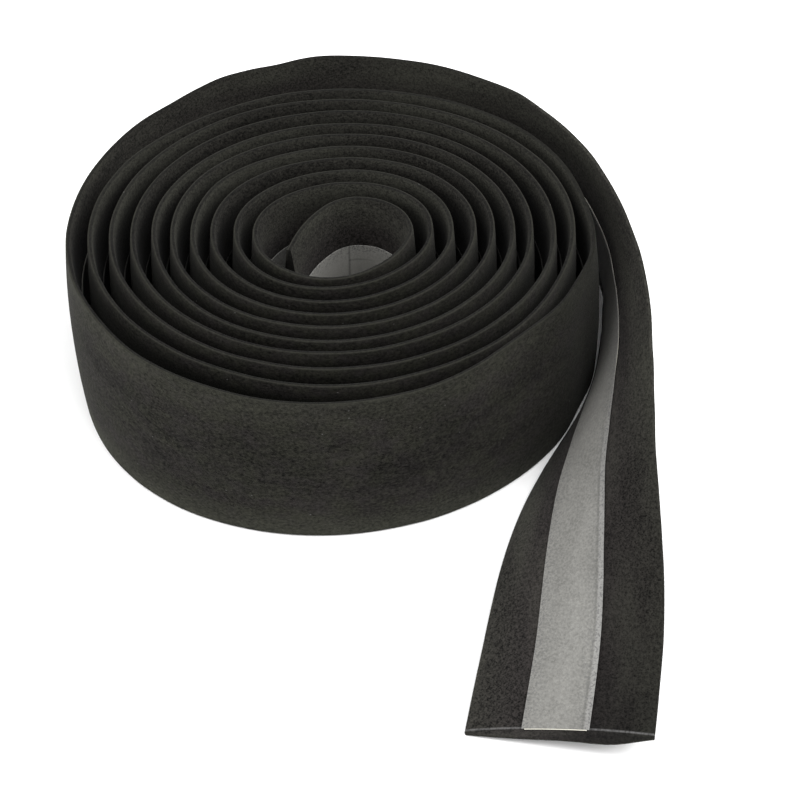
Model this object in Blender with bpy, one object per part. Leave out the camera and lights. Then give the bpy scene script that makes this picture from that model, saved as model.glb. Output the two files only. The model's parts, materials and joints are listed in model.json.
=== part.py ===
"""Roll of suede-faced grip tape, 30 mm wide, standing on its edge with the free end laid out flat.

One lens-shaped strip in four layers (suede face, foam cushion, adhesive strip, release liner) is swept
along one path: inner free end, coil, loose outer half turn, twisting tail.  The path runs clockwise going
outward, seen from above.  Each layer is cut into links where the strip is free to bend.
"""

import math

import bpy
from mathutils import Vector

MM = 0.001

# strip
WIDTH = 30.0
SUEDE_THICK = 0.50
FOAM_EDGE = 0.36
FACE_CROWN = 0.70
BACK_CROWN = 1.05
LAYER_GAP = 0.06
ADHESIVE_THICK = 0.20
ADHESIVE_WIDTH = 9.9
LINER_THICK = 0.15
LINER_WIDTH = 10.7
LINER_CENTRE = 14.7

# coil
COIL_X = 0.2
COIL_Y = 1.3
COIL_R0 = 10.4
COIL_PITCH = 3.775
DRIFT_CORE = -1.06
DRIFT_RIM = 0.97
OVAL_COS_CORE = 0.68
OVAL_COS_RIM = 0.48
OVAL_SIN_CORE = -0.70
OVAL_SIN_RIM = -0.16
RIM_TURN = 10.0
SHOULDER_RISE = 1.6
SHOULDER_TURN = 9.8
SHOULDER_SPREAD = 0.12
LOOSE_RISE = 8.8
LOOSE_TURN = 10.262
LOOSE_SPREAD = 0.144
LEAN = 6.5
LEAN_FROM = 10.19
LEAN_TO = 10.355
STEPS_PER_TURN = 24
FIRST_STEP = 12
LAST_STEP = 248

# inner free end, from its cut end to the first full turn (x, y)
INNER_END = (
    (-8.5, -4.7),
    (-7.3, -0.6),
    (-5.7, 3.3),
    (-3.3, 7.1),
    (-0.7, 9.8),
    (2.6, 10.9),
    (6.2, 9.9),
    (9.4, 7.3),
    (11.8, 4.4),
)
INNER_STEPS = 2

# outer end, from the loose turn to its cut end (x and y of the lower edge, roll from flat in degrees)
TAIL = (
    (37.3, 48.8, 96.5),
    (43.1, 42.1, 97.5),
    (47.8, 34.7, 97.5),
    (51.1, 26.6, 96.5),
    (52.4, 18.0, 94.0),
    (52.2, 9.3, 89.5),
    (50.2, 0.8, 82.5),
    (48.2, -7.8, 76.5),
    (45.2, -16.0, 69.0),
    (41.3, -23.8, 60.0),
    (37.4, -31.7, 51.5),
    (33.9, -39.8, 44.0),
    (31.0, -48.1, 36.0),
    (28.7, -56.5, 28.5),
    (26.8, -65.1, 21.0),
    (25.1, -73.7, 15.0),
    (23.4, -82.3, 12.5),
    (21.8, -90.9, 12.0),
)
TAIL_STEPS = 2

# links
SEAM_GAP = 0.5
INNER_SEAM_XY = (-0.7, 9.8)
LOOSE_SEAM_STEP = 240
TAIL_SEAM_XY = (52.4, 18.0)
TIP_SEAM_XY = (27.9, -60.0)
TAB_LENGTH = 14.0

COLOURS = {
    "suede_face": (0.035, 0.035, 0.036, 1.0),
    "foam_cushion": (0.022, 0.022, 0.024, 1.0),
    "adhesive_strip": (0.62, 0.60, 0.52, 1.0),
    "release_liner": (0.42, 0.42, 0.41, 1.0),
}


def widen(core, rim, turn):
    """Value growing evenly from the core to the rim of the coil."""
    return core + (rim - core) * turn / RIM_TURN


def coil_radius(turn):
    """Distance of the strip's edge from the coil's axis, the turn counted clockwise from -X."""
    angle = 2.0 * math.pi * turn
    radius = COIL_R0 + COIL_PITCH * turn
    radius += widen(DRIFT_CORE, DRIFT_RIM, turn) * math.sin(angle)
    radius += widen(OVAL_COS_CORE, OVAL_COS_RIM, turn) * math.cos(2.0 * angle)
    radius += widen(OVAL_SIN_CORE, OVAL_SIN_RIM, turn) * math.sin(2.0 * angle)
    radius += SHOULDER_RISE * math.exp(-(((turn - SHOULDER_TURN) / SHOULDER_SPREAD) ** 2))
    radius += LOOSE_RISE * math.exp(-(((turn - LOOSE_TURN) / LOOSE_SPREAD) ** 2))
    return radius


def coil_lean(turn):
    """How far the top of the strip leans in over its lower edge, in degrees."""
    t = min(max((turn - LEAN_FROM) / (LEAN_TO - LEAN_FROM), 0.0), 1.0)
    return LEAN * t * t * (3.0 - 2.0 * t)


def coil_point(turn):
    """Lower edge of the strip and its roll.  Where it leans, the upper edge keeps the coil's radius."""
    angle = math.pi - 2.0 * math.pi * turn
    lean = coil_lean(turn)
    radius = coil_radius(turn) + WIDTH * math.sin(math.radians(lean))
    return (COIL_X + radius * math.cos(angle), COIL_Y + radius * math.sin(angle), 90.0 + lean)


def guide_points():
    """Guide points of the whole strip: x, y and roll."""
    guide = [(x, y, 90.0) for x, y in INNER_END]
    guide += [coil_point(step / STEPS_PER_TURN) for step in range(FIRST_STEP, LAST_STEP + 1)]
    return guide + list(TAIL)


def spline(a, b, c, d, t):
    """Catmull-Rom value between b and c."""
    return 0.5 * (
        2.0 * b
        + (c - a) * t
        + (2.0 * a - 5.0 * b + 4.0 * c - d) * t * t
        + (3.0 * b - a - 3.0 * c + d) * t * t * t
    )


def path_at(guide, u):
    """Point and roll at guide parameter u, where whole numbers are the guide points."""
    last = len(guide) - 1
    i = min(max(int(math.floor(u)), 0), last - 1)
    t = u - i
    b = guide[i]
    c = guide[i + 1]
    a = guide[i - 1] if i > 0 else [2.0 * b[k] - c[k] for k in range(3)]
    d = guide[i + 2] if i + 2 <= last else [2.0 * c[k] - b[k] for k in range(3)]
    return [spline(a[k], b[k], c[k], d[k], t) for k in range(3)]


def crown(v):
    """Rise of the cushion across the width, 0 at the edges and 1 at mid width."""
    s = 2.0 * v / WIDTH - 1.0
    return 1.0 - s * s


def foam_face(v):
    return FOAM_EDGE + FACE_CROWN * crown(v)


def foam_back(v):
    return -BACK_CROWN * crown(v)


def suede_back(v):
    return foam_face(v) + LAYER_GAP


def suede_front(v):
    return foam_face(v) + LAYER_GAP + SUEDE_THICK


EDGE_CENTRE = 0.5 * suede_front(0.0)
FRONT_MAX = suede_front(0.5 * WIDTH)
LINER_DEPTH = LAYER_GAP + ADHESIVE_THICK + LAYER_GAP + LINER_THICK
BACK_MIN = foam_back(LINER_CENTRE - 0.5 * LINER_WIDTH) - LINER_DEPTH


class Station:
    """Frame of the strip at one place: origin on the lower edge, along, across and outward."""

    def __init__(self, guide, u):
        step = 0.02
        low = path_at(guide, max(u - step, 0.0))
        high = path_at(guide, min(u + step, len(guide) - 1.0))
        x, y, roll = path_at(guide, u)
        along = Vector((high[0] - low[0], high[1] - low[1], 0.0)).normalized()
        side = Vector((-along.y, along.x, 0.0))
        roll = math.radians(roll)
        up = Vector((0.0, 0.0, 1.0))
        self.u = u
        self.along = along
        self.across = side * math.cos(roll) + up * math.sin(roll)
        self.outward = side * math.sin(roll) - up * math.cos(roll)
        rest = 0.0
        for k in range(31):
            v = WIDTH * k / 30.0
            depth = (suede_front(v) - EDGE_CENTRE) * math.cos(roll) - v * math.sin(roll)
            rest = max(rest, depth)
        self.origin = Vector((x, y, rest))

    def point(self, v, n, shift=0.0):
        local = self.across * v + self.outward * (n - EDGE_CENTRE) + self.along * shift
        return (self.origin + local) * MM


def nearest_u(guide, x, y, low, high):
    """Guide parameter closest to a plan position, searched between two parameters."""
    best = low
    best_gap = 1e9
    count = int((high - low) * 50)
    for k in range(count + 1):
        u = low + (high - low) * k / count
        px, py, _ = path_at(guide, u)
        gap = math.hypot(px - x, py - y)
        if gap < best_gap:
            best = u
            best_gap = gap
    return best


def stations_between(guide, u0, u1, per_step):
    """Stations from u0 to u1, always including the guide points between them."""
    marks = [u0]
    for i in range(int(math.floor(u0)), int(math.ceil(u1)) + 1):
        for k in range(per_step):
            u = i + k / per_step
            if u0 + 0.2 < u < u1 - 0.2:
                marks.append(u)
    marks.append(u1)
    return [Station(guide, u) for u in marks]


LINER_LOW = LINER_CENTRE - 0.5 * LINER_WIDTH
LINER_HIGH = LINER_CENTRE + 0.5 * LINER_WIDTH
SPLIT_WIDTHS = [0.0, LINER_LOW, LINER_HIGH, WIDTH]


def flat_back(v):
    """The foam's back between the liner's edges, where its facet is flat."""
    t = (v - LINER_LOW) / LINER_WIDTH
    return (1.0 - t) * foam_back(LINER_LOW) + t * foam_back(LINER_HIGH)


def section_between(vs, back_of, front_of):
    size = len(vs)
    ring = [(v, back_of(v)) for v in vs] + [(v, front_of(v)) for v in reversed(vs)]
    caps = [(k, k + 1, 2 * size - 2 - k, 2 * size - 1 - k) for k in range(size - 1)]
    return ring, caps


def section_band(width, back, front):
    """Section of a thin band on the foam's back, between two depths under it."""
    half = 0.5 * width
    vs = [LINER_CENTRE - half, LINER_CENTRE + half]
    return section_between(vs, lambda v: flat_back(v) - back, lambda v: flat_back(v) - front)


ADHESIVE_FRONT = LAYER_GAP
ADHESIVE_BACK = ADHESIVE_FRONT + ADHESIVE_THICK
LINER_FRONT = ADHESIVE_BACK + LAYER_GAP
LINER_BACK = LINER_FRONT + LINER_THICK

SECTIONS = {
    "suede_face": section_between(SPLIT_WIDTHS, suede_back, suede_front),
    "foam_cushion": section_between(SPLIT_WIDTHS, foam_back, foam_face),
    "adhesive_strip": section_band(ADHESIVE_WIDTH, ADHESIVE_BACK, ADHESIVE_FRONT),
    "release_liner": section_band(LINER_WIDTH, LINER_BACK, LINER_FRONT),
}


def triangles(face):
    return [(face[0], face[k], face[k + 1]) for k in range(1, len(face) - 1)]


def sweep(name, layer, stations, start_shift, end_shift, material):
    """Closed body of one layer along the stations, its ends moved along the strip by the shifts."""
    ring, caps = SECTIONS[layer]
    size = len(ring)
    vertices = []
    last = len(stations) - 1
    for i, station in enumerate(stations):
        shift = start_shift if i == 0 else (end_shift if i == last else 0.0)
        vertices += [station.point(v, n, shift) for v, n in ring]
    faces = []
    for i in range(last):
        a = i * size
        b = a + size
        for k in range(size):
            m = (k + 1) % size
            if ring[m][0] < ring[k][0]:
                faces += triangles((b + k, b + m, a + m, a + k))
            else:
                faces += triangles((a + k, b + k, b + m, a + m))
    for cap in caps:
        faces += triangles(cap)
        faces += triangles([last * size + k for k in reversed(cap)])
    mesh = bpy.data.meshes.new(name)
    mesh.from_pydata([tuple(p) for p in vertices], [], faces)
    mesh.update()
    node = bpy.data.objects.new(name, mesh)
    bpy.context.scene.collection.objects.link(node)
    mesh.materials.append(material)
    for polygon in mesh.polygons:
        polygon.use_smooth = True
    return node


def make_material(name, colour):
    material = bpy.data.materials.new(name)
    material.use_nodes = True
    shader = material.node_tree.nodes["Principled BSDF"]
    shader.inputs["Base Color"].default_value = colour
    shader.inputs["Roughness"].default_value = 0.9
    return material


def layout():
    """Guide points, the link limits as guide parameters and the plan shift that centres the part."""
    guide = guide_points()
    first_coil = len(INNER_END)
    tail_start = float(len(guide) - 1 - len(TAIL))
    last = len(guide) - 1.0
    limits = {
        "inner_seam": nearest_u(guide, *INNER_SEAM_XY, 0.0, float(first_coil)),
        "loose_seam": float(first_coil + LOOSE_SEAM_STEP - FIRST_STEP),
        "tail_seam": nearest_u(guide, *TAIL_SEAM_XY, tail_start, last),
        "tip_seam": nearest_u(guide, *TIP_SEAM_XY, tail_start, last),
        "end": last,
    }
    return guide, limits


def centre_plan(nodes):
    """Move all meshes so that the middle of the plan outline is on the Z axis."""
    xs = [v.co.x for node in nodes for v in node.data.vertices]
    ys = [v.co.y for node in nodes for v in node.data.vertices]
    shift = Vector((-(min(xs) + max(xs)) / 2.0, -(min(ys) + max(ys)) / 2.0, 0.0))
    for node in nodes:
        for vertex in node.data.vertices:
            vertex.co += shift
    return shift


def set_origin(nodes, pivot):
    """Put the origin of each node on its joint axis, leaving the surface where it is."""
    for node in nodes:
        for vertex in node.data.vertices:
            vertex.co -= pivot
        node.location = pivot


def build():
    for item in list(bpy.data.objects):
        bpy.data.objects.remove(item)
    guide, limits = layout()
    materials = {layer: make_material(layer, colour) for layer, colour in COLOURS.items()}
    half = 0.5 * SEAM_GAP
    links = (
        ("inner_end", 0.0, limits["inner_seam"], 0.0, -half, INNER_STEPS),
        ("coil", limits["inner_seam"], limits["loose_seam"], half, -half, 1),
        ("loose_turn", limits["loose_seam"], limits["tail_seam"], half, -half, 1),
        ("tail", limits["tail_seam"], limits["tip_seam"], half, -half, TAIL_STEPS),
        ("tail_tip", limits["tip_seam"], limits["end"], half, 0.0, TAIL_STEPS),
    )
    nodes = {}
    for link, u0, u1, start, end, per_step in links:
        for layer in SECTIONS:
            stations = stations_between(guide, u0, u1, per_step)
            if link == "tail_tip" and layer == "release_liner":
                tab = tab_start(guide, u1)
                tip = stations_between(guide, u0, tab, per_step)
                name = "release_liner_tail_tip"
                nodes[name] = sweep(name, layer, tip, start, -half, materials[layer])
                name = "release_liner_pull_tab"
                pull = stations_between(guide, tab, u1, per_step)
                nodes[name] = sweep(name, layer, pull, half, end, materials[layer])
                continue
            name = layer + "_" + link
            nodes[name] = sweep(name, layer, stations, start, end, materials[layer])
    shift = centre_plan(list(nodes.values()))
    pivots = joint_pivots(guide, limits, shift)
    for link, pivot in pivots.items():
        moving = [node for name, node in nodes.items() if name.endswith("_" + link)]
        set_origin(moving, pivot[0])


def tab_start(guide, end):
    """Guide parameter where the liner's pull tab begins."""
    u = end
    length = 0.0
    x, y, _ = path_at(guide, u)
    while length < TAB_LENGTH:
        u -= 0.01
        nx, ny, _ = path_at(guide, u)
        length += math.hypot(nx - x, ny - y)
        x, y = nx, ny
    return u


def joint_pivots(guide, limits, shift):
    """Joint position and axis of each moving link."""
    mid = 0.5 * WIDTH
    places = {
        "inner_end": (limits["inner_seam"], BACK_MIN, 1.0),
        "loose_turn": (limits["loose_seam"], FRONT_MAX, 1.0),
        "tail": (limits["tail_seam"], FRONT_MAX, 1.0),
        "tail_tip": (limits["tip_seam"], BACK_MIN, -1.0),
        "pull_tab": (tab_start(guide, limits["end"]), BACK_MIN, -1.0),
    }
    pivots = {}
    for link, (u, n, sign) in places.items():
        station = Station(guide, u)
        pivots[link] = (station.point(mid, n) + shift, station.across * sign)
    return pivots


build()
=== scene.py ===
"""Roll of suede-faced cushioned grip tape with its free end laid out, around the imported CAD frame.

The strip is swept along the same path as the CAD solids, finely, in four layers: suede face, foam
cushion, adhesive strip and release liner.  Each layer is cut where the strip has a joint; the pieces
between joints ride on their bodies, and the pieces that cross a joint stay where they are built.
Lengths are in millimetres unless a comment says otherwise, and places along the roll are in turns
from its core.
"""

import json
import math

import bpy
import numpy as np
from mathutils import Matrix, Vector, noise


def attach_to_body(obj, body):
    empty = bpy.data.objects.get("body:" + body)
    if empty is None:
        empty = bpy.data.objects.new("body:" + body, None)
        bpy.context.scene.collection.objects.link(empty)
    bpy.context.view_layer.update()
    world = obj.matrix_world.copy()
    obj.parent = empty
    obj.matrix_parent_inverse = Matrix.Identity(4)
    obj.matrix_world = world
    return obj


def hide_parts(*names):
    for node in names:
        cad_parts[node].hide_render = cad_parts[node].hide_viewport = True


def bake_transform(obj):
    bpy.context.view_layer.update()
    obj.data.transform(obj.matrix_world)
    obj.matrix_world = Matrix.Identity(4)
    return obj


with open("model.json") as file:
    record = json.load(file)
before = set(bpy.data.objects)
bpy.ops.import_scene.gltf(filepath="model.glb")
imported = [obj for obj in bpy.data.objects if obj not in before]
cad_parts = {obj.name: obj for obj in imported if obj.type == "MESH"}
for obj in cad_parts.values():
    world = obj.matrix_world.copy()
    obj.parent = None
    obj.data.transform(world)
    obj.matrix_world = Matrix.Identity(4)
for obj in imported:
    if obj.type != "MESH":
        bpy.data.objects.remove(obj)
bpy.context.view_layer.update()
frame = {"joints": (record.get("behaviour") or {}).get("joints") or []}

MM = 0.001

# ---------------------------------------------------------------- the strip's path, as in the CAD
WIDTH = 30.0
COIL_X = 0.2
COIL_Y = 1.3
COIL_R0 = 10.4
COIL_PITCH = 3.775
DRIFT_CORE = -1.06
DRIFT_RIM = 0.97
OVAL_COS_CORE = 0.68
OVAL_COS_RIM = 0.48
OVAL_SIN_CORE = -0.70
OVAL_SIN_RIM = -0.16
RIM_TURN = 10.0
SHOULDER_RISE = 1.6
SHOULDER_TURN = 9.8
SHOULDER_SPREAD = 0.12
LOOSE_RISE = 8.8
LOOSE_TURN = 10.262
LOOSE_SPREAD = 0.144
LEAN = 6.5  # degrees
LEAN_FROM = 10.19
LEAN_TO = 10.355
STEPS_PER_TURN = 24
FIRST_STEP = 12
LAST_STEP = 248
LOOSE_SEAM_STEP = 240
# Lower edge of the strip from its inner end to the first coil step (x, y).
INNER_END = (
    (-8.5, -4.7),
    (-7.3, -0.6),
    (-5.7, 3.3),
    (-3.3, 7.1),
    (-0.7, 9.8),
    (2.6, 10.9),
    (6.2, 9.9),
    (9.4, 7.3),
    (11.8, 4.4),
)
# Lower edge of the strip after the last coil step (x, y, roll in degrees; 90 is upright).
TAIL = (
    (37.3, 48.8, 96.5),
    (43.1, 42.1, 97.5),
    (47.8, 34.7, 97.5),
    (51.1, 26.6, 96.5),
    (52.4, 18.0, 94.0),
    (52.2, 9.3, 89.5),
    (50.2, 0.8, 82.5),
    (48.2, -7.8, 76.5),
    (45.2, -16.0, 69.0),
    (41.3, -23.8, 60.0),
    (37.4, -31.7, 51.5),
    (33.9, -39.8, 44.0),
    (31.0, -48.1, 36.0),
    (28.7, -56.5, 28.5),
    (26.8, -65.1, 21.0),
    (25.1, -73.7, 15.0),
    (23.4, -82.3, 12.5),
    (21.8, -90.9, 12.0),
)
INNER_SEAM_XY = (-0.7, 9.8)
TAIL_SEAM_XY = (52.4, 18.0)
TIP_SEAM_XY = (27.9, -60.0)
TAB_LENGTH = 14.0
CAD_FRONT_MAX = 1.16  # suede's crown above the middle of the strip's edge

# ---------------------------------------------------------------- slack that the CAD leaves out
# The wound turns keep an even slack, and lie further out at the back than at the front.
SLACK_EVEN = 0.30
SLACK_BACK = 0.60
SLACK_LOBES = 0.13
SLACK_IN = (0.40, 0.75)
SLACK_OUT = (9.90, 10.05)
# Places where the strip is pushed out or in (turn, distance outward, spread in turns).
PUSHED = (
    (0.42, 1.70, 0.065),
    (0.75, 0.85, 0.10),
    (1.95, -0.50, 0.06),
    (3.10, 0.60, 0.10),
    (3.45, 0.40, 0.10),
    (4.10, 0.75, 0.06),
    (5.10, 0.45, 0.06),
    (5.95, -0.50, 0.06),
    (6.60, -0.55, 0.40),
    (7.85, -0.40, 0.10),
    (8.20, 0.50, 0.06),
    (8.55, -0.65, 0.06),
    (8.75, 0.70, 0.06),
    (9.15, -0.80, 0.06),
    (9.465, -0.90, 0.040),
    (9.550, -0.75, 0.025),
    (10.140, -0.30, 0.016),
    (10.178, 0.42, 0.012),
    (10.210, -0.42, 0.010),
    (10.234, 0.47, 0.014),
    (10.280, -0.20, 0.020),
    (10.320, 0.40, 0.020),
    (10.420, 0.15, 0.040),
)
# The foot of the outermost turn stands out under its upper edge, over these turns.
FLARE = 1.0
FLARE_FROM = (9.40, 9.48)
FLARE_TO = (9.90, 9.985)
FLARE_MORE = ((9.510, 0.70, 0.045), (9.860, 0.80, 0.065))
# Places where the strip is rolled further over (turn, degrees, spread in turns).
ROLLED = (
    (9.618, 4.1, 0.050),
    (9.870, -0.6, 0.030),
    (10.74, -0.7, 0.070),
    (10.90, -1.5, 0.090),
    (11.06, -1.2, 0.060),
)

# Fine unevenness of the strip (height, length of its features, seed).
WANDER_WAVES = ((0.06, 21.0, 1.0), (0.04, 7.0, 2.0))
WIDTH_WAVES = ((0.0045, 45.0, 3.0), (0.0015, 9.0, 4.0))  # shares of the width
CROWN_WAVES = ((0.05, 18.0, 5.0),)  # shares of the crowns
SEED_APART = 7.31  # distance in the noise from one seed to the next
NOISE_GAIN = 1.6  # brings the noise to about -1 to 1

# ---------------------------------------------------------------- the layers' sections
EDGE_FOAM = 0.45
EDGE_SUEDE = 0.30
FACE_CROWN = 0.80
BACK_CROWN = 1.12
ADHESIVE_BACK = -0.20
LINER_BACK = -0.34
FACE_GAP = 0.01  # between the glued faces of suede and foam and the plane they share
TAPE_GAP = 0.015  # in front of and behind the adhesive
SUEDE_ROUND = 0.14  # radius of the suede's cut corners
FOAM_ROUND = 0.10
LINER_CENTRE = 14.7
LINER_WIDTH = 10.7
ADHESIVE_WIDTH = 9.9
# The crowns are squeezed to fit between neighbouring turns.
SQUEEZED = (0.5, 10.3)
ROOM_LEFT = 0.10  # least gap between the crowns of neighbouring turns
LEAST_CROWN = 0.3
# The cushion hangs down under the raised side of the last stretch.
SAG = 1.0
SAG_AT = 23.0
SAG_SPREAD = 5.0
SAG_FROM_END = 45.0
SAG_FULL_FROM_END = 6.0
# The paper of the liner stands off a little in rucks, and in creases along its edges.
RUCK_HEIGHT = 0.05
RUCK_LENGTH = 9.0
RUCK_WIDTH = 5.0
CREASE_HEIGHT = 0.10
CREASE_LENGTH = 14.0

# ---------------------------------------------------------------- fineness of the sweep
STEP = 0.9
END_STATIONS = (0.0, 0.12, 0.35)  # close together, for a clean cut end
DENSE = 40  # samples of the spline between two guide rows
SMOOTHING = 15  # dense samples to either side over which the direction is evened out
WIDTH_SAMPLES = 61  # across the strip, to find how low it reaches
EDGE_STEPS = (0.0, 0.05, 0.14, 0.32, 0.65, 1.2, 2.0, 3.1, 4.5, 6.2, 8.0, 10.0, 12.2)
BAND_STEPS = (-1.0, -0.985, -0.9, -0.7, -0.4, 0.0, 0.4, 0.7, 0.9, 0.985, 1.0)
SHARP_ANGLE = math.radians(48.0)

# ---------------------------------------------------------------- painted shade kept with the meshes
# Inside the wound part the layers lie in each other's shade, except for the strip's upper edge; that
# shade is painted into their colour, darker with depth below the upper edge.
SUEDE_SHOWS = (9.22, 9.34)
BACK_SHOWS = (9.95, 10.10)
CORE_HIDES = (0.95, 1.40)
# Strength of the tail's painted shadow:
TAIL_SHADE = 0.62  # on the suede where the tail passes close by
TAIL_SHADE_OUT = (9.52, 9.68)
SHADE_DEPTH = (0.2, 4.2)
# Nearness to a cut edge is kept over this reach; on the suede and the foam it carries painted shade
# along the edges.
EDGE_REACH = {"suede": 0.55, "foam": 0.22, "adhesive": 0.30, "liner": 0.55}
# Turns over which the painted shade along the foam's edges fades out.
FOAM_EDGE_SHADE_FADES = (10.30, 10.45)


def widen(core, rim, turn):
    """Value growing evenly from the core to the rim of the coil."""
    return core + (rim - core) * turn / RIM_TURN


def coil_radius(turn):
    angle = 2.0 * math.pi * turn
    radius = COIL_R0 + COIL_PITCH * turn
    radius += widen(DRIFT_CORE, DRIFT_RIM, turn) * math.sin(angle)
    radius += widen(OVAL_COS_CORE, OVAL_COS_RIM, turn) * math.cos(2.0 * angle)
    radius += widen(OVAL_SIN_CORE, OVAL_SIN_RIM, turn) * math.sin(2.0 * angle)
    radius += SHOULDER_RISE * math.exp(-(((turn - SHOULDER_TURN) / SHOULDER_SPREAD) ** 2))
    radius += LOOSE_RISE * math.exp(-(((turn - LOOSE_TURN) / LOOSE_SPREAD) ** 2))
    return radius


def smoothstep(low, high, x):
    """0 below low, 1 above high, and a smooth rise between them."""
    t = np.clip((x - low) / (high - low), 0.0, 1.0)
    return t * t * (3.0 - 2.0 * t)


def coil_point(turn):
    """Lower edge of the strip and its roll.  Where it leans, the upper edge keeps the coil's radius."""
    angle = math.pi - 2.0 * math.pi * turn
    lean = LEAN * float(smoothstep(LEAN_FROM, LEAN_TO, turn))
    radius = coil_radius(turn) + WIDTH * math.sin(math.radians(lean))
    return (COIL_X + radius * math.cos(angle), COIL_Y + radius * math.sin(angle), 90.0 + lean)


def guide_points():
    guide = [(x, y, 90.0) for x, y in INNER_END]
    guide += [coil_point(step / STEPS_PER_TURN) for step in range(FIRST_STEP, LAST_STEP + 1)]
    guide += list(TAIL)
    return np.array(guide)


def bumps(places, turn):
    """Sum of rounded bumps (turn, height, spread) at the given turns."""
    return sum(height * np.exp(-(((turn - at) / spread) ** 2)) for at, height, spread in places)


def flare(turn):
    """How far the lower edge stands out under the upper edge."""
    share = smoothstep(*FLARE_FROM, turn) * (1.0 - smoothstep(*FLARE_TO, turn))
    return share * (FLARE + bumps(FLARE_MORE, turn))


def slack(turn):
    """How far out of the CAD's path the strip lies."""
    angle = 2.0 * np.pi * turn
    wound = SLACK_EVEN + SLACK_BACK * np.sin(angle) + SLACK_LOBES * np.sin(3.0 * angle)
    wound *= smoothstep(*SLACK_IN, turn) * (1.0 - smoothstep(*SLACK_OUT, turn))
    return wound + bumps(PUSHED, turn) + flare(turn)


def spline_rows(guide, us):
    """Catmull-Rom values of the guide rows at parameters us."""
    last = len(guide) - 1
    padded = np.vstack([2.0 * guide[0] - guide[1], guide, 2.0 * guide[-1] - guide[-2]])
    i = np.clip(np.floor(us).astype(int), 0, last - 1)
    t = (us - i)[:, None]
    a, b, c, d = (padded[i + k] for k in range(4))
    return 0.5 * (
        2.0 * b
        + (c - a) * t
        + (2.0 * a - 5.0 * b + 4.0 * c - d) * t**2
        + (3.0 * b - a - 3.0 * c + d) * t**3
    )


def crown(v):
    """Height of a crown across the width: 1 in the middle, 0 at both edges."""
    s = 2.0 * v / WIDTH - 1.0
    return 1.0 - s * s


def suede_front(v):
    """Depth of the strip's outer face where its crown isn't squeezed."""
    return EDGE_FOAM + EDGE_SUEDE + FACE_CROWN * crown(v)


EDGE_CENTRE = 0.5 * (EDGE_FOAM + EDGE_SUEDE)


def step_u(step):
    """Guide parameter of a coil step."""
    return len(INNER_END) + step - FIRST_STEP


class Path:
    """Stations along the strip: arc length s, turn, lower edge (origin) and three axes."""

    def __init__(self):
        guide = guide_points()
        last = len(guide) - 1
        self.dense_u = np.linspace(0.0, last, last * DENSE + 1)
        rows = spline_rows(guide, self.dense_u)
        plan = rows[:, :2]
        steps = np.linalg.norm(np.diff(plan, axis=0), axis=1)
        self.dense_s = np.concatenate([[0.0], np.cumsum(steps)])
        self.total = float(self.dense_s[-1])
        self.s = self.station_lengths()
        self.turn = (self.sampled(self.dense_u) - len(INNER_END) + FIRST_STEP) / STEPS_PER_TURN
        x, y = (self.sampled(plan[:, k]) for k in range(2))
        direction = self.smoothed_direction(plan)
        tx, ty = (self.sampled(direction[:, k]) for k in range(2))
        norm = np.hypot(tx, ty)
        tx, ty = tx / norm, ty / norm
        roll = np.radians(self.sampled(rows[:, 2]) + bumps(ROLLED, self.turn))
        roll += np.arcsin(flare(self.turn) / WIDTH)
        zero = np.zeros_like(x)
        side = np.stack([-ty, tx, zero], 1)
        up = np.array([0.0, 0.0, 1.0])
        cos, sin = np.cos(roll)[:, None], np.sin(roll)[:, None]
        self.along = np.stack([tx, ty, zero], 1)
        self.across = side * cos + up * sin
        self.outward = side * sin - up * cos
        v = np.linspace(0.0, WIDTH, WIDTH_SAMPLES)[None, :]
        below = (suede_front(v) - EDGE_CENTRE) * cos - v * sin
        self.origin = np.stack([x, y, np.maximum(below.max(1), 0.0)], 1)

    def station_lengths(self):
        """Arc lengths of the stations, closer together at the two cut ends."""
        ends = np.array(END_STATIONS)
        count = int(round(self.total / STEP))
        middle = np.linspace(STEP, self.total - STEP, count - 1)
        return np.concatenate([ends, middle, self.total - ends[::-1]])

    def sampled(self, values):
        """Values of the dense samples at the stations."""
        return np.interp(self.s, self.dense_s, values)

    def smoothed_direction(self, plan):
        """Unit direction of the strip in plan at the dense samples."""
        tangent = np.gradient(plan, self.dense_u, axis=0)
        tangent /= np.linalg.norm(tangent, axis=1)[:, None]
        kernel = np.hanning(2 * SMOOTHING + 1)
        kernel /= kernel.sum()
        before, after = tangent[:1].repeat(SMOOTHING, 0), tangent[-1:].repeat(SMOOTHING, 0)
        padded = np.vstack([before, tangent, after])
        smooth = np.stack([np.convolve(padded[:, k], kernel, "valid") for k in range(2)], 1)
        return smooth / np.linalg.norm(smooth, axis=1)[:, None]

    def at(self, u):
        """Arc length at guide parameter u."""
        return float(np.interp(u, self.dense_u, self.dense_s))

    def index(self, s):
        """Station index closest to an arc length."""
        return int(np.argmin(np.abs(self.s - s)))

    def near(self, x, y):
        """Station index closest to a plan position."""
        return int(np.argmin(np.hypot(self.origin[:, 0] - x, self.origin[:, 1] - y)))


path = Path()

# The plan shift of the CAD, read from where its loose turn is hinged.
seam_s = path.at(step_u(LOOSE_SEAM_STEP))
seam_i = path.index(seam_s)
hinge = next(j for j in frame["joints"] if j["name"] == "loose_turn_open")["pos_m"]
raw_hinge = (
    path.origin[seam_i]
    + path.across[seam_i] * (0.5 * WIDTH)
    + path.outward[seam_i] * CAD_FRONT_MAX
    + path.along[seam_i] * (seam_s - path.s[seam_i])
)
SHIFT = np.array([hinge[0] / MM - raw_hinge[0], hinge[1] / MM - raw_hinge[1], 0.0])


def place(i, v, n, width_share=1.0):
    """Points in metres at station i for arrays of width and depth positions."""
    v = np.asarray(v)[:, None] * width_share
    n = (np.asarray(n) - EDGE_CENTRE)[:, None]
    return (path.origin[i] + path.across[i] * v + path.outward[i] * n + SHIFT) * MM


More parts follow.
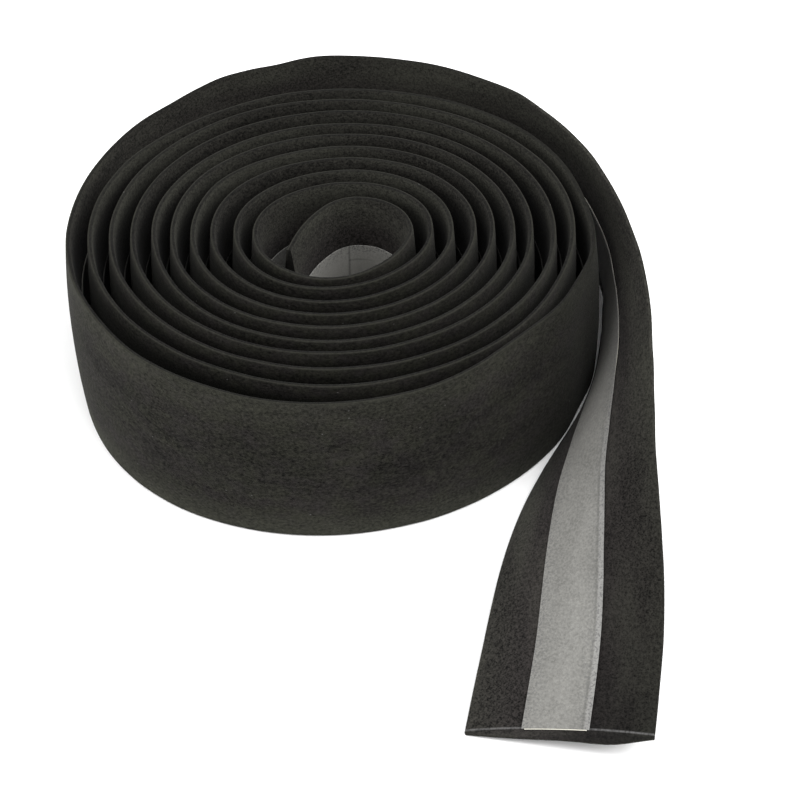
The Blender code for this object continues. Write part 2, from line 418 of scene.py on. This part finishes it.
def wave(length, seed):
    """Smooth noise along the strip, about -1 to 1, with features of the given length."""
    rows = [noise.noise(Vector((s / length, seed * SEED_APART, 0.37))) for s in path.s]
    return np.array(rows) * NOISE_GAIN


def waves(parts):
    """Sum of the waves (height, length, seed) at every station."""
    return sum(height * wave(length, seed) for height, length, seed in parts)


upright = np.clip(path.across[:, 2], 0.0, 1.0)
wander = slack(path.turn) + waves(WANDER_WAVES) * upright
path.origin[:, :2] += path.outward[:, :2] * wander[:, None]
WIDTH_SHARE = 1.0 + waves(WIDTH_WAVES)


def crown_room():
    """Share of the crowns that fits towards the turn inside and the turn outside, at each station."""
    coil = (path.turn > SQUEEZED[0]) & (path.turn < SQUEEZED[1])
    middle = path.origin + path.across * (0.5 * WIDTH)
    radius = np.hypot(middle[:, 0] - COIL_X, middle[:, 1] - COIL_Y)
    turn, radius = path.turn[coil], radius[coil]
    taken = EDGE_FOAM + EDGE_SUEDE - LINER_BACK + ROOM_LEFT
    shares = []
    for side in (-1.0, 1.0):
        apart = np.abs(np.interp(turn + side, turn, radius) - radius)
        apart[(turn + side < turn[0]) | (turn + side > turn[-1])] = np.inf
        share = np.ones_like(path.s)
        share[coil] = np.clip((apart - taken) / (FACE_CROWN + BACK_CROWN), LEAST_CROWN, 1.0)
        shares.append(share * (1.0 + waves(CROWN_WAVES)))
    return shares


BACK_SHARE, FACE_SHARE = crown_room()
SAG_HEIGHT = SAG * smoothstep(path.total - SAG_FROM_END, path.total - SAG_FULL_FROM_END, path.s)


# ---------------------------------------------------------------- sections
def rounded(v, radius):
    """How far a cut corner is pulled in at width positions v."""
    distance = np.minimum(v, WIDTH - v)
    inside = np.clip(1.0 - distance / radius, 0.0, 1.0)
    return radius * (1.0 - np.sqrt(1.0 - inside**2))


def band(width):
    """Width positions across a band as wide as given, centred on the liner."""
    return LINER_CENTRE + 0.5 * width * np.array(BAND_STEPS)


FULL = np.array([*EDGE_STEPS, 0.5 * WIDTH, *(WIDTH - x for x in reversed(EDGE_STEPS))])
SUEDE_FACE = EDGE_FOAM + EDGE_SUEDE - rounded(FULL, SUEDE_ROUND)
# For each layer: width positions, then the crown and the distance from it of its back and its front.
SECTIONS = {
    "suede": (FULL, ("face", EDGE_FOAM + FACE_GAP), ("face", SUEDE_FACE)),
    "foam": (FULL, ("back", rounded(FULL, FOAM_ROUND)), ("face", EDGE_FOAM - FACE_GAP)),
    "adhesive": (band(ADHESIVE_WIDTH), ("back", ADHESIVE_BACK), ("back", -TAPE_GAP)),
    "liner": (band(LINER_WIDTH), ("back", LINER_BACK), ("back", ADHESIVE_BACK - TAPE_GAP)),
}


def depth(sheet, v, i):
    """Depth of a layer's back or front across the width at station i."""
    follows, distance = sheet
    if follows == "face":
        sag = SAG_HEIGHT[i] * np.exp(-(((v - SAG_AT) / SAG_SPREAD) ** 2))
        return distance + FACE_CROWN * FACE_SHARE[i] * crown(v) + sag
    return distance - BACK_CROWN * BACK_SHARE[i] * crown(v)


def liner_lift(s, v):
    """How far the paper stands off the tape at one point."""
    side = math.copysign(1.0, v - LINER_CENTRE)
    edge = abs(v - LINER_CENTRE) / (0.5 * LINER_WIDTH)
    ruck = noise.noise(Vector((s / RUCK_LENGTH, v / RUCK_WIDTH, 3.1)))
    crease = noise.noise(Vector((s / CREASE_LENGTH, side * 5.0, 8.4)))
    lift = RUCK_HEIGHT * np.clip(ruck + 0.1, 0.0, 1.0)
    return lift + CREASE_HEIGHT * edge**6 * np.clip(crease + 0.15, 0.0, 1.0)


def painted_shade_shares(layer):
    """Share of painted shade at each station for lying inside the wound part, and share of the tail's
    painted shadow on it.
    """
    turn = path.turn
    if layer == "suede":
        shows = smoothstep(*SUEDE_SHOWS, turn)
        return 1.0 - shows, TAIL_SHADE * (1.0 - smoothstep(*TAIL_SHADE_OUT, turn)) * shows
    wound = (1.0 - smoothstep(*BACK_SHOWS, turn)) * smoothstep(*CORE_HIDES, turn)
    return wound, np.zeros_like(turn)


def strip_faces(count, size):
    """Faces of a closed strip of count lengths, with size points across its back and its front."""
    ring = 2 * size
    faces = []
    for i in range(count):
        a, b = i * ring, (i + 1) * ring
        for k in range(ring):
            m = (k + 1) % ring
            faces.append((a + k, b + k, b + m, a + m))
    for k in range(size - 1):
        cap = (k, k + 1, ring - 2 - k, ring - 1 - k)
        faces.append(cap)
        faces.append(tuple(count * ring + j for j in reversed(cap)))
    return faces


def keep_on_points(mesh, name, kind, values):
    """Store one row of values for each station's ring as an attribute of the mesh's points."""
    attribute = mesh.attributes.new(name, kind, "POINT")
    field = "vector" if kind == "FLOAT_VECTOR" else "value"
    attribute.data.foreach_set(field, np.concatenate(values).astype(np.float32).ravel())


def sweep(name, layer, i0, i1):
    """Closed mesh of one layer between two stations.

    Its attributes are the place on the tape (length, width, depth), how near an edge is, and how
    much painted shade a point gets deep in the roll or in the tail's shadow.
    """
    v, back, front = SECTIONS[layer]
    full_width = layer in ("suede", "foam")
    ring_v = np.concatenate([v, v[::-1]])
    points, tape, edge, painted_shade = [], [], [], []
    wound, shaded = painted_shade_shares(layer)
    # The painted shade along the foam's edges fades out in the tail.
    edge_shade_shows = 1.0 - smoothstep(*FOAM_EDGE_SHADE_FADES, path.turn) if layer == "foam" else np.ones_like(path.s)
    for i in range(i0, i1 + 1):
        s = path.s[i]
        rise = np.array([liner_lift(s, x) for x in v]) if layer == "liner" else 0.0
        n = np.concatenate([depth(back, v, i) - rise, (depth(front, v, i) - rise)[::-1]])
        points.append(place(i, ring_v, n, WIDTH_SHARE[i] if full_width else 1.0))
        tape.append(np.stack([np.full(len(ring_v), s), ring_v, n], 1))
        painted_shade.append(np.maximum(wound[i] * smoothstep(*SHADE_DEPTH, WIDTH - ring_v), shaded[i]))
        to_side = np.minimum(ring_v - v[0], v[-1] - ring_v)
        to_edge = np.minimum(to_side, min(s, path.total - s))
        edge.append(np.clip(1.0 - to_edge / EDGE_REACH[layer], 0.0, 1.0) ** 2 * edge_shade_shows[i])
    faces = strip_faces(i1 - i0, len(v))
    mesh = bpy.data.meshes.new(name)
    mesh.from_pydata(np.concatenate(points).tolist(), [], faces)
    mesh.polygons.foreach_set("use_smooth", [True] * len(faces))
    mesh.set_sharp_from_angle(angle=SHARP_ANGLE)
    keep_on_points(mesh, "tape", "FLOAT_VECTOR", tape)
    keep_on_points(mesh, "edge", "FLOAT", edge)
    keep_on_points(mesh, "painted_shade", "FLOAT", painted_shade)
    piece = bpy.data.objects.new(name, mesh)
    bpy.context.scene.collection.objects.link(piece)
    mesh.materials.append(MATERIALS[layer])
    return piece


# ---------------------------------------------------------------- materials
class Graph:
    """Short calls for building a shader node tree."""

    def __init__(self, name):
        self.material = bpy.data.materials.new(name)
        self.material.use_nodes = True
        self.tree = self.material.node_tree
        self.shader = self.tree.nodes["Principled BSDF"]

    def node(self, kind, inputs=None, **settings):
        made = self.tree.nodes.new(kind)
        for key, value in settings.items():
            setattr(made, key, value)
        for key, value in (inputs or {}).items():
            self.put(made.inputs[key], value)
        return made

    def put(self, socket, value):
        if isinstance(value, bpy.types.NodeSocket):
            self.tree.links.new(value, socket)
        else:
            socket.default_value = value

    def attribute(self, name):
        return self.node("ShaderNodeAttribute", attribute_name=name)

    def strip(self):
        """Place on the tape as a vector, then its length and its width alone."""
        tape = self.attribute("tape").outputs["Vector"]
        split = self.node("ShaderNodeSeparateXYZ", {"Vector": tape})
        return tape, split.outputs["X"], split.outputs["Y"]

    def mapping(self, vector, scale):
        return self.node("ShaderNodeMapping", {"Vector": vector, "Scale": scale}).outputs["Vector"]

    def noise(self, vector, scale, detail=4.0, roughness=0.55, distortion=0.0):
        values = {
            "Vector": vector,
            "Scale": scale,
            "Detail": detail,
            "Roughness": roughness,
            "Distortion": distortion,
        }
        return self.node("ShaderNodeTexNoise", values).outputs["Fac"]

    def voronoi(self, vector, scale):
        return self.node("ShaderNodeTexVoronoi", {"Vector": vector, "Scale": scale})

    def math(self, operation, a, b=0.0, clamp=False):
        made = self.node("ShaderNodeMath", operation=operation, use_clamp=clamp)
        self.put(made.inputs[0], a)
        self.put(made.inputs[1], b)
        return made.outputs[0]

    def spread(self, value, low, high, to_low=0.0, to_high=1.0):
        """Value from low to high, stretched to run from to_low to to_high and clamped there."""
        values = {
            "Value": value,
            "From Min": low,
            "From Max": high,
            "To Min": to_low,
            "To Max": to_high,
        }
        return self.node("ShaderNodeMapRange", values, clamp=True).outputs["Result"]

    def mix(self, factor, a, b):
        made = self.node("ShaderNodeMix", data_type="RGBA")
        self.put(made.inputs[0], factor)
        self.put(made.inputs[6], a)
        self.put(made.inputs[7], b)
        return made.outputs[2]

    def apart(self, a, b):
        return self.math("ABSOLUTE", self.math("SUBTRACT", a, b))

    def line(self, position, at, reach):
        """1 on a line across the strip or along it, falling to 0 within reach."""
        return self.spread(self.apart(position, at), 0.0, reach, 1.0, 0.0)

    def darker(self, color, share):
        return self.mix(share, color, (0.0, 0.0, 0.0, 1.0))

    def bump(self, height, strength, distance):
        """Bumped normal; the distance is in metres."""
        values = {"Height": height, "Strength": strength, "Distance": distance}
        return self.node("ShaderNodeBump", values).outputs["Normal"]

    def set(self, **values):
        names = {"color": "Base Color", "roughness": "Roughness", "normal": "Normal"}
        for key, value in values.items():
            self.put(self.shader.inputs[names[key]], value)

    def fix(self, values):
        """Set values that are the same all over on the shader's own sockets."""
        for name, value in values.items():
            self.shader.inputs[name].default_value = value


def grey(value, warm):
    return (value * (1.0 + warm), value, value * (1.0 - warm), 1.0)


# Each layer runs from a dark colour in its pores to a light one on its raised grain.
SUEDE_DARK = (0.0020, 0.0020, 0.0018, 1.0)
OLIVE = (0.0275, 0.0272, 0.0212, 1.0)
PURPLE = (0.0262, 0.0238, 0.0224, 1.0)
PALE_EDGE_DARK = (0.014, 0.0142, 0.0118, 1.0)
PALE_EDGE_LIGHT = (0.047, 0.0475, 0.037, 1.0)
SUEDE_EDGE_SHADE = (0.0200, 0.0200, 0.0165, 1.0)
LINT = grey(0.16, 0.02)
FOAM_DARK = (0.0040, 0.0040, 0.0036, 1.0)
FOAM_BY_LINER = (0.0345, 0.0305, 0.0290, 1.0)
FOAM_OUTER = (0.0400, 0.0395, 0.0325, 1.0)
FOAM_EDGE_SHADE = grey(0.0030, 0.01)
FOAM_CUT = grey(0.105, 0.01)
ADHESIVE_DARK = (0.50, 0.48, 0.40, 1.0)
ADHESIVE_LIGHT = (0.68, 0.66, 0.58, 1.0)
LINER_DARK = (0.080, 0.0785, 0.0725, 1.0)
LINER_LIGHT = (0.205, 0.202, 0.189, 1.0)
LINER_CORE_LIT = (0.34, 0.335, 0.31, 1.0)
LINER_PIT = grey(0.34, 0.01)
LINER_RAISED_HIGHLIGHT = grey(0.28, 0.01)
LINER_GUM = grey(0.09, 0.01)
LINER_RIM = grey(0.28, 0.005)

# Marks along the strip: lengths from its inner end, or before its outer end where so named.
OUTERMOST_STEPS = (222, 226)  # coil steps over which the outermost turn begins
LAID_SHADE_BEFORE_END = 90.0
CUT_BEFORE_END = 0.35
LIT_CORE_LINER = (70.0, 40.0)
HANDLED_BEFORE_END = (75.0, 45.0)
CORE_FOLD = 19.3
SHORT_FOLD = (19.0, 19.5)
SHORT_FOLD_FADES = (26.0, 22.0)
# Lines along the liner, at these widths.
RAISED_STRIP = (19.1, 19.3)
FOLD_WIDTH = 18.9
SHORT_FOLD_WIDTH = 16.8


def suede_material():
    """Brushed pile in olive and purple greys, lighter along the outermost turn's edges, most at its foot
    where painted bounce light from the floor is added.
    """
    g = Graph("suede")
    tape, length, width = g.strip()
    edge = g.attribute("edge").outputs["Fac"]
    painted_shade = g.attribute("painted_shade").outputs["Fac"]
    pile = g.noise(g.mapping(tape, (1.0, 1.25, 1.0)), 1.7, 5.0, 0.70)
    fibre = g.noise(g.mapping(tape, (1.1, 3.2, 1.0)), 1.5, 4.0, 0.6, 0.4)
    brushed = g.noise(g.mapping(tape, (0.055, 0.16, 1.0)), 1.0, 4.0, 0.55, 0.6)
    cloud = g.noise(g.mapping(tape, (0.016, 0.05, 1.0)), 1.0, 2.0, 0.5)
    fac = g.math("ADD", g.spread(pile, 0.30, 0.70, 0.0, 0.50), g.spread(fibre, 0.3, 0.7, 0.0, 0.26))
    fac = g.math("ADD", fac, g.spread(brushed, 0.32, 0.68, 0.0, 0.16))
    fac = g.math("ADD", fac, g.spread(cloud, 0.35, 0.65, 0.0, 0.08), clamp=True)
    fac = g.spread(fac, 0.22, 0.78)
    # Lighter along both edges of the outermost turn, most at its foot, where it is painted bounce light
    # from the floor.
    to_sides = g.spread(g.apart(width, 0.5 * WIDTH), 8.5, 15.0, 0.0, 0.35)
    pale_edges_and_foot_light = g.math("ADD", to_sides, g.spread(width, 6.0, 0.0, 0.0, 0.45))
    outermost = [path.at(step_u(step)) for step in OUTERMOST_STEPS]
    pale_edges_and_foot_light = g.math("MULTIPLY", pale_edges_and_foot_light, g.spread(length, *outermost))
    tint = g.spread(g.noise(g.mapping(tape, (0.22, 0.3, 1.0)), 1.0, 3.0, 0.6), 0.38, 0.62, 1.0, 0.0)
    tint = g.math("SUBTRACT", tint, g.math("MULTIPLY", pale_edges_and_foot_light, 0.8), clamp=True)
    color = g.mix(fac, SUEDE_DARK, g.mix(tint, OLIVE, PURPLE))
    color = g.mix(pale_edges_and_foot_light, color, g.mix(fac, PALE_EDGE_DARK, PALE_EDGE_LIGHT))
    # Painted shade along the suede's cut edges.
    color = g.mix(g.math("MULTIPLY", edge, 0.6), color, SUEDE_EDGE_SHADE)
    # Painted shade deep in the roll and in the tail's shadow.
    color = g.darker(color, g.math("MULTIPLY", painted_shade, 0.85))
    lint = g.voronoi(g.mapping(tape, (1.0, 1.6, 1.0)), 0.42)
    speck = g.spread(lint.outputs["Distance"], 0.035, 0.075, 1.0, 0.0)
    rare = g.node("ShaderNodeSeparateColor", {"Color": lint.outputs["Color"]}).outputs["Red"]
    speck = g.math("MULTIPLY", speck, g.spread(rare, 0.70, 0.74))
    color = g.mix(g.math("MULTIPLY", speck, 0.45), color, LINT)
    height = g.math("ADD", g.math("MULTIPLY", pile, 0.65), g.math("MULTIPLY", fibre, 0.35))
    normal = g.bump(height, 0.55, 0.00022)
    g.set(color=color, normal=normal, roughness=g.spread(pile, 0.3, 0.7, 0.98, 0.86))
    g.fix({"Sheen Weight": 0.04, "Sheen Roughness": 0.45, "Sheen Tint": (0.95, 0.95, 0.88, 1.0)})
    g.fix({"Specular IOR Level": 0.03})
    return g.material


def foam_material():
    """Fine closed cells, purplish beside the liner and olive towards the sides, with a pale cut edge."""
    g = Graph("foam")
    tape, length, width = g.strip()
    edge = g.attribute("edge").outputs["Fac"]
    painted_shade = g.attribute("painted_shade").outputs["Fac"]
    grain = g.noise(g.mapping(tape, (1.0, 1.3, 1.0)), 1.6, 5.0, 0.70)
    cells = g.voronoi(tape, 3.1).outputs["Distance"]
    cloud = g.noise(g.mapping(tape, (0.03, 0.09, 1.0)), 1.0, 3.0, 0.5)
    fac = g.math("ADD", g.spread(grain, 0.30, 0.70, 0.0, 0.50), g.spread(cells, 0.1, 0.7, 0.0, 0.28))
    fac = g.math("ADD", fac, g.spread(cloud, 0.35, 0.65, 0.0, 0.22), clamp=True)
    fac = g.spread(fac, 0.22, 0.78)
    outer = g.spread(g.apart(width, LINER_CENTRE), 5.5, 13.0, 0.0, 0.8)
    outer = g.math("ADD", outer, g.spread(cloud, 0.4, 0.6, -0.2, 0.3), clamp=True)
    color = g.mix(fac, FOAM_DARK, g.mix(outer, FOAM_BY_LINER, FOAM_OUTER))
    # Painted shade in the crease along the foam's cut edges.
    color = g.mix(g.math("MULTIPLY", edge, 0.75), color, FOAM_EDGE_SHADE)
    # Painted shade on the last stretch of the tail, growing across the width from 9 to 20 mm, added to
    # the painted shade deep in the roll.
    laid = g.spread(length, path.total - LAID_SHADE_BEFORE_END, path.total, 0.0, 0.60)
    laid = g.math("MULTIPLY", laid, g.spread(width, 9.0, 20.0))
    color = g.darker(color, g.math("ADD", laid, g.math("MULTIPLY", painted_shade, 0.8)))
    cut = g.line(length, path.total - CUT_BEFORE_END, 0.30)
    cut = g.math("MULTIPLY", cut, g.spread(grain, 0.35, 0.55, 0.3, 0.9))
    color = g.mix(cut, color, FOAM_CUT)
    height = g.math("ADD", g.math("MULTIPLY", grain, 0.6), g.math("MULTIPLY", cells, 0.4))
    normal = g.bump(height, 0.5, 0.00016)
    g.set(color=color, normal=normal, roughness=g.spread(grain, 0.3, 0.7, 0.95, 0.82))
    g.fix({"Sheen Weight": 0.02, "Sheen Roughness": 0.5, "Specular IOR Level": 0.05})
    return g.material


def adhesive_material():
    """Slightly shiny cream glue."""
    g = Graph("adhesive")
    tape = g.attribute("tape").outputs["Vector"]
    painted_shade = g.attribute("painted_shade").outputs["Fac"]
    grain = g.noise(tape, 1.8, 3.0)
    color = g.mix(grain, ADHESIVE_DARK, ADHESIVE_LIGHT)
    # Painted shade deep in the roll.
    g.set(color=g.darker(color, g.math("MULTIPLY", painted_shade, 0.95)))
    g.set(roughness=g.spread(grain, 0.3, 0.7, 0.35, 0.5))
    g.set(normal=g.bump(grain, 0.3, 0.0001))
    return g.material


def liner_fold_shade(g, length, width, handled):
    """Painted shade in the folds: one along the handled end, one across the core's end and one along it.
    """
    long_fold = g.math("MULTIPLY", g.line(width, FOLD_WIDTH, 0.30), g.math("MULTIPLY", handled, 0.25))
    core_fold = g.math("MULTIPLY", g.line(length, CORE_FOLD, 0.45), 0.5)
    short_fold = g.spread(length, *SHORT_FOLD_FADES, 0.0, 0.35)
    short_fold = g.math("MULTIPLY", g.line(width, SHORT_FOLD_WIDTH, 0.35), short_fold)
    short_fold = g.math("MULTIPLY", short_fold, g.spread(length, *SHORT_FOLD))
    return g.math("ADD", long_fold, g.math("ADD", core_fold, short_fold), clamp=True)


def liner_material():
    """Grainy grey paper: painted lighter in the core, and pitted, folded and gummed towards the outer
    end, with painted shade in its folds and a painted highlight on a raised strip.
    """
    g = Graph("release liner")
    tape, length, width = g.strip()
    painted_shade = g.attribute("painted_shade").outputs["Fac"]
    across = g.apart(width, LINER_CENTRE)
    grain = g.noise(g.mapping(tape, (1.0, 1.1, 1.0)), 2.4, 4.0, 0.6)
    pores = g.voronoi(g.mapping(tape, (1.0, 1.2, 1.0)), 2.2).outputs["Distance"]
    cloud = g.noise(g.mapping(tape, (0.05, 0.14, 1.0)), 1.0, 3.0, 0.5)
    fac = g.math("ADD", g.spread(grain, 0.32, 0.68, 0.0, 0.55), g.spread(pores, 0.1, 0.7, 0.0, 0.2))
    fac = g.math("ADD", fac, g.spread(cloud, 0.35, 0.65, 0.0, 0.25), clamp=True)
    color = g.mix(fac, LINER_DARK, LINER_LIGHT)
    # Painted light on the liner near the inner end, rising from 70 mm to 40 mm along the strip.
    color = g.mix(g.spread(length, *LIT_CORE_LINER, 0.0, 0.45), color, LINER_CORE_LIT)
    handled = g.spread(length, *(path.total - before for before in HANDLED_BEFORE_END))
    pits = g.math("MULTIPLY", g.spread(pores, 0.10, 0.18, 0.4, 0.0), g.spread(across, 4.0, 2.0))
    color = g.mix(g.math("MULTIPLY", pits, handled), color, LINER_PIT)
    # Painted highlight on a raised strip along the liner's upper edge, towards the outer end.
    raised = g.math("MULTIPLY", g.spread(width, *RAISED_STRIP, 0.0, 0.30), handled)
    color = g.mix(raised, color, LINER_RAISED_HIGHLIGHT)
    color = g.darker(color, liner_fold_shade(g, length, width, handled))
    gum = g.spread(g.noise(tape, 2.3, 2.0, 0.7), 0.52, 0.59, 0.0, 0.9)
    color = g.mix(g.math("MULTIPLY", gum, g.spread(across, 2.2, 5.4)), color, LINER_GUM)
    color = g.mix(g.spread(across, 5.15, 5.5, 0.0, 0.12), color, LINER_RIM)
    height = g.math("ADD", g.math("MULTIPLY", grain, 0.6), g.math("MULTIPLY", pores, 0.3))
    normal = g.bump(height, 0.35, 0.00010)
    # Painted shade deep in the roll.
    color = g.darker(color, g.math("MULTIPLY", painted_shade, 0.93))
    g.set(color=color, normal=normal, roughness=g.spread(grain, 0.3, 0.7, 0.62, 0.8))
    g.fix({"Specular IOR Level": 0.3})
    return g.material


MATERIALS = {
    "suede": suede_material(),
    "foam": foam_material(),
    "adhesive": adhesive_material(),
    "liner": liner_material(),
}

# ---------------------------------------------------------------- pieces
SLOTS = {
    "suede": "suede_face",
    "foam": "foam_cushion",
    "adhesive": "adhesive_strip",
    "liner": "release_liner",
}


# Half the length over which the tape bends at a hinge.
BEND = 9.0
CORE_BEND = 4.0

inner_seam = path.near(*INNER_SEAM_XY)
tail_seam = path.near(*TAIL_SEAM_XY)
tip_seam = path.near(*TIP_SEAM_XY)
tab_seam = path.index(path.total - TAB_LENGTH)
end = len(path.s) - 1

# Each cut lies this far from its hinge, so that the length over which the tape bends lies in one piece.
INNER_AFTER = 8.0
LOOSE_BEFORE, LOOSE_AFTER = 12.0, 60.0
TAIL_BEFORE, TAIL_AFTER = 14.0, 30.0
TAB_BEFORE = 3.0
inner_cut = path.index(path.s[inner_seam] + INNER_AFTER)
loose_cut_a = path.index(path.s[seam_i] - LOOSE_BEFORE)
loose_cut_b = path.index(path.s[seam_i] + LOOSE_AFTER)
tail_cut_a = path.index(path.s[tail_seam] - TAIL_BEFORE)
tail_cut_b = path.index(path.s[tail_seam] + TAIL_AFTER)
tab_cut = path.index(path.s[tab_seam] - TAB_BEFORE)

# Name, first and last station, the body it rides on or the two bodies on either side of the hinge that
# it crosses, the hinge's station, half the length of the bend, and the links of the CAD that it stands
# for.
REGIONS = (
    ("inner_end", 0, inner_cut, "inner_end", "coil", inner_seam, CORE_BEND, ("inner_end",)),
    ("coil", inner_cut, loose_cut_a, "coil", None, None, None, ("coil",)),
    ("loose_root", loose_cut_a, loose_cut_b, "coil", "loose_turn", seam_i, BEND, ()),
    ("loose_turn", loose_cut_b, tail_cut_a, "loose_turn", None, None, None, ("loose_turn",)),
    ("tail_root", tail_cut_a, tail_cut_b, "loose_turn", "tail", tail_seam, BEND, ()),
    ("tail", tail_cut_b, end, "tail", "tail_tip", tip_seam, BEND, ("tail", "tail_tip")),
)


def attach(piece, body, other):
    """Make a piece ride on one body, or, where it crosses a hinge, keep it where it is built."""
    if other is None:
        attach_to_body(piece, body)
    else:
        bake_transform(piece)


for region, i0, i1, body, other, seam, reach, links in REGIONS:
    for layer in SECTIONS:
        last = tab_cut if (layer == "liner" and region == "tail") else i1
        piece = sweep(f"{layer}_{region}", layer, i0, last)
        attach(piece, body, other)
        if links:
            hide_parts(*[f"{SLOTS[layer]}_{link}" for link in links])

tab = sweep("liner_pull_tab", "liner", tab_cut, end)
attach(tab, "tail_tip", "pull_tab")
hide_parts("release_liner_pull_tab")

# ---------------------------------------------------------------- floor, light and camera
# Lengths are in metres from here on.
FLOOR_REACH = 6.0
FLOOR_DROP = 0.0002
corners = [(x * FLOOR_REACH, y * FLOOR_REACH, 0.0) for x, y in ((-1, -1), (1, -1), (1, 1), (-1, 1))]
floor_mesh = bpy.data.meshes.new("floor")
floor_mesh.from_pydata(corners, [], [(0, 1, 2, 3)])
floor = bpy.data.objects.new("floor", floor_mesh)
floor.location.z = -FLOOR_DROP
bpy.context.scene.collection.objects.link(floor)
pale = Graph("pale floor")
pale.set(color=(0.97, 0.97, 0.97, 1.0), roughness=0.9)
pale.fix({"Specular IOR Level": 0.1})
floor_mesh.materials.append(pale.material)

WORLD_STRENGTH = 0.90
world = bpy.data.worlds.new("studio")
bpy.context.scene.world = world
world.use_nodes = True
background = world.node_tree.nodes["Background"]
background.inputs["Color"].default_value = (1.0, 1.0, 1.0, 1.0)
background.inputs["Strength"].default_value = WORLD_STRENGTH

MID_HEIGHT = 0.5 * WIDTH * MM
COIL_CENTRE = Vector((SHIFT[0] * MM, SHIFT[1] * MM, MID_HEIGHT))


def softbox(name, direction, distance, size, power):
    """Rectangular light in a direction from the coil, turned towards it."""
    light = bpy.data.lights.new(name, "AREA")
    light.shape = "RECTANGLE"
    light.size, light.size_y = size
    light.energy = power
    lamp = bpy.data.objects.new(name, light)
    bpy.context.scene.collection.objects.link(lamp)
    place_at = Vector(direction).normalized() * distance
    lamp.location = COIL_CENTRE + place_at
    lamp.rotation_mode = "QUATERNION"
    lamp.rotation_quaternion = place_at.to_track_quat("Z", "Y")


softbox("key", (0.80, 0.20, 0.75), 1.3, (1.0, 0.8), 12.0)
softbox("front", (0.40, -0.38, 1.0), 1.4, (1.0, 0.8), 10.0)
softbox("left", (-0.90, -0.45, 0.42), 1.5, (1.0, 0.8), 9.0)
softbox("high", (-0.55, -0.10, 1.0), 1.5, (0.5, 0.4), 6.0)

ELEVATION = math.radians(42.1)
DISTANCE = 0.350
TARGET = COIL_CENTRE + Vector((0.01155, -0.02845, 0.0))
VIEW_WIDTH = 0.141168  # seen across the picture at the target
SENSOR = 36.0
camera_data = bpy.data.cameras.new("camera")
camera_data.lens = SENSOR * DISTANCE / VIEW_WIDTH
camera_data.sensor_width = SENSOR
camera_data.clip_start = 0.01
camera_data.clip_end = 50.0
camera = bpy.data.objects.new("camera", camera_data)
bpy.context.scene.collection.objects.link(camera)
back = Vector((0.0, -math.cos(ELEVATION), math.sin(ELEVATION)))
camera.location = TARGET + back * DISTANCE
camera.rotation_mode = "QUATERNION"
camera.rotation_quaternion = back.to_track_quat("Z", "Y")
bpy.context.scene.camera = camera
bpy.context.scene.view_settings.view_transform = "Standard"
